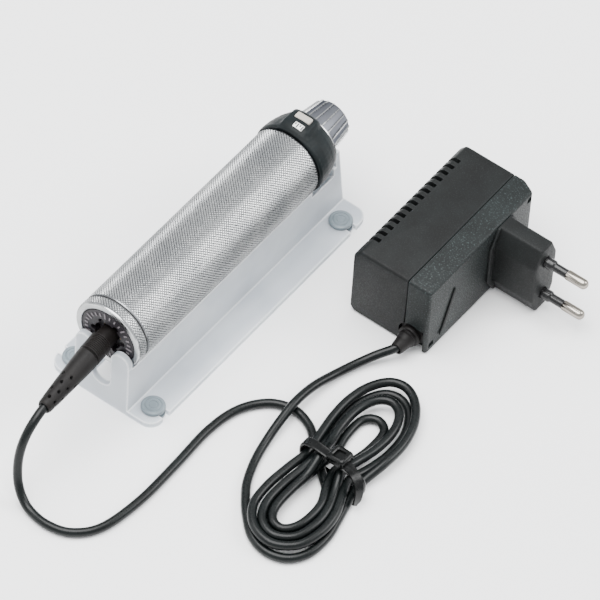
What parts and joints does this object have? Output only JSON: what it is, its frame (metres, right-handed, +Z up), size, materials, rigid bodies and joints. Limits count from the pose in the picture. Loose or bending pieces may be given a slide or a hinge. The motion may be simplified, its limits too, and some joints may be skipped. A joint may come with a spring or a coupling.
{
  "type": "ophthalmoscope charging handle with plug-in supply",
  "caption": "Knurled rechargeable handle of an ophthalmoscope lying in a frosted rest, with a charging lead tied in a hank and a two-pin plug-in supply.",
  "frame": {"origin": "under the middle of the rest, on the surface that it stands on", "axes": "+Y along the handle from the charging socket to the instrument end, +X towards the supply, +Z up"},
  "size_m": [0.1448, 0.2224, 0.0528],
  "materials": {
    "frosted_plastic": "translucent, frosted",
    "foot_rubber": "moulded, satin",
    "knurled_aluminium": "diamond knurled, natural anodised",
    "turned_aluminium": "turned, satin",
    "cap_aluminium": "ribbed, satin anodised",
    "black_rubber": "moulded",
    "boot_rubber": "moulded, satin",
    "socket_plastic": "moulded, satin",
    "contact_brass": "turned",
    "plated_contact": "nickel plated",
    "board_laminate": "glass-fibre laminate",
    "chip_plastic": "moulded",
    "spring_steel": "drawn wire",
    "cell_can": "sleeved can",
    "cell_wrap": "heat-shrunk sleeve",
    "liner_plastic": "moulded",
    "resistor_track": "baked film",
    "scale_plastic": "moulded",
    "mark_ink": "printed",
    "dimmer_plastic": "moulded, satin",
    "button_plastic": "moulded, satin",
    "plug_plastic": "moulded, ribbed",
    "supply_plastic": "spark-eroded texture",
    "sleeve_plastic": "moulded",
    "core_steel": "stacked laminations",
    "winding_copper": "enamelled wire",
    "capacitor_sleeve": "sleeved can",
    "lead_jacket": "extruded, soft",
    "tie_plastic": "coated wire"
  },
  "bodies": {
    "rest": {"cradle": "frosted_plastic", "foot_near_left": "foot_rubber", "foot_near_right": "foot_rubber", "foot_far_left": "foot_rubber", "foot_far_right": "foot_rubber", "supply_cover": "supply_plastic", "supply_base": "supply_plastic", "mains_plug": "supply_plastic", "mains_pins": "plated_contact", "pin_sleeves": "sleeve_plastic", "laminated_core": "core_steel", "bobbin": "liner_plastic", "primary_winding": "winding_copper", "secondary_winding": "winding_copper", "rectifier_board": "board_laminate", "diodes": "chip_plastic", "capacitor": "capacitor_sleeve", "supply_boot": "boot_rubber", "cord_lead": "lead_jacket", "cord_run": "lead_jacket", "cord_tail": "lead_jacket", "cord_hank": "lead_jacket", "hank_tie": "tie_plastic"},
    "handle": {"handle_tube": "knurled_aluminium", "bottom_seal": "black_rubber", "charge_board": "board_laminate", "board_chips": "chip_plastic", "rear_spring": "spring_steel", "battery_rear": "cell_can", "battery_front": "cell_can", "battery_wrap": "cell_wrap", "battery_button": "cell_can", "tube_liner": "liner_plastic", "contact_plunger": "contact_brass", "plunger_spring": "spring_steel", "contact_bush": "liner_plastic", "neck": "turned_aluminium", "dimmer_track": "resistor_track", "scale_sleeve": "scale_plastic", "scale_marks": "mark_ink", "retaining_ring": "turned_aluminium", "bayonet_pins": "spring_steel", "head_contact": "contact_brass", "neck_seal": "black_rubber"},
    "bottom_ring": {"bottom_ring": "knurled_aluminium", "socket_insert": "socket_plastic", "socket_sleeve": "contact_brass", "socket_pin": "contact_brass"},
    "dimmer": {"dimmer_ring": "dimmer_plastic", "dimmer_wiper": "contact_brass"},
    "button": {"push_button": "button_plastic", "button_spring": "spring_steel"},
    "cap": {"ribbed_cap": "cap_aluminium"},
    "plug": {"plug_grip": "plug_plastic", "plug_nose": "plated_contact", "plug_boot": "boot_rubber"}
  },
  "joints": [
    {"name": "handle_lift", "type": "slide", "parent": "rest", "child": "handle", "axis": [0, 0, 1], "range_m": [0, 0.06], "deforming": ["cord_lead"]},
    {"name": "bottom_ring_turn", "type": "hinge", "parent": "handle", "child": "bottom_ring", "pos_m": [0, -0.064, 0.0355], "axis": [0, 1, 0], "range_deg": [0, 300]},
    {"name": "dimmer_turn", "type": "hinge", "parent": "handle", "child": "dimmer", "pos_m": [0, 0.051, 0.0355], "axis": [0, 1, 0], "range_deg": [0, 240]},
    {"name": "button_press", "type": "slide", "parent": "dimmer", "child": "button", "axis": [0, 0, -1], "range_m": [0, 0.0012], "stiffness_N_per_m": 400, "springref_m": -0.001, "deforming": ["button_spring"]},
    {"name": "cap_off", "type": "slide", "parent": "handle", "child": "cap", "axis": [0, 1, 0], "range_m": [0, 0.016]},
    {"name": "plug_out", "type": "slide", "parent": "handle", "child": "plug", "axis": [0, -1, 0], "range_m": [0, 0.01], "deforming": ["cord_lead"]}
  ]
}
